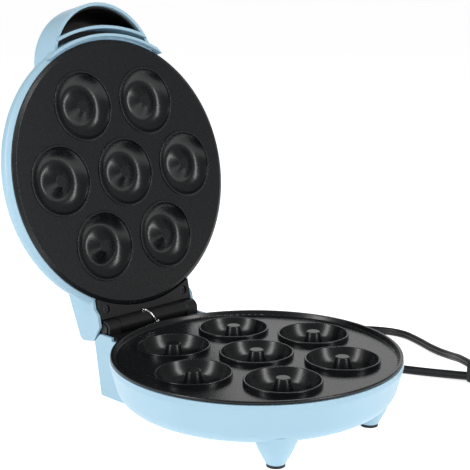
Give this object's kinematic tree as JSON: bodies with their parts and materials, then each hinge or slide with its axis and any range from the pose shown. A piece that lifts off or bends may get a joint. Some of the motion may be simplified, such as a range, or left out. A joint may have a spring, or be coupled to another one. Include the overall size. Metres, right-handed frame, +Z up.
{
  "type": "donut maker",
  "caption": "Electric mini donut maker with a round base and a hinged domed lid, each holding a non-stick plate of ring-shaped cavities, a hollow lift handle, small feet and a tied mains cord.",
  "frame": {"origin": "on the standing surface, under the middle of the open appliance's box (cord left out)", "axes": "+X along the hinge towards the side that the cord leaves; +Y towards the hinge and the opened lid, so the user faces +Y; +Z up"},
  "size_m": [0.3311, 0.3699, 0.2832],
  "materials": {
    "blue_shell": "satin moulded",
    "black_plastic": "fine grain",
    "nonstick": "non-stick coated casting",
    "steel": "zinc plated",
    "dark_steel": "black oxide",
    "bright_steel": "nickel plated",
    "reflector": "aluminised sheet",
    "rubber": "matt",
    "cord_sheath": "satin PVC",
    "tie": "matt",
    "white_plastic": "ceramic-filled",
    "lead_sleeve": "glass-fibre sleeve",
    "lens_red": "clear",
    "lens_green": "clear"
  },
  "bodies": {
    "base": {"base_shell": "blue_shell", "foot_pads": "rubber", "base_screws": "steel", "base_plate": "nonstick", "base_element": "steel", "base_element_pins": "bright_steel", "base_reflector": "reflector", "thermostat": "steel", "thermostat_bracket": "steel", "thermal_fuse": "lead_sleeve", "terminal_block": "white_plastic", "terminal_screws": "bright_steel", "base_wiring": "lead_sleeve", "cord_clamp": "black_plastic", "hinge_bracket": "black_plastic", "hinge_pin": "steel", "hinge_washers": "dark_steel", "strain_relief": "cord_sheath", "mains_cord": "cord_sheath", "cord_tie": "tie", "mains_plug": "cord_sheath", "plug_pins": "bright_steel", "plug_earth_clips": "bright_steel"},
    "lid": {"lid_shell": "blue_shell", "handle_liner": "black_plastic", "lid_plate": "nonstick", "lid_element": "steel", "lid_element_pins": "bright_steel", "lid_reflector": "reflector", "lid_reflector_screws": "steel", "lid_plate_clips": "steel", "hinge_block": "black_plastic", "hinge_cover_screws": "dark_steel", "hinge_spring": "bright_steel", "power_lens": "lens_red", "ready_lens": "lens_green", "lamp_holders": "white_plastic", "lid_wiring": "lead_sleeve"}
  },
  "joints": [
    {"name": "lid_hinge", "type": "hinge", "parent": "base", "child": "lid", "pos_m": [0, 0.06384, 0.051], "axis": [1, 0, 0], "range_deg": [0, 102]}
  ]
}
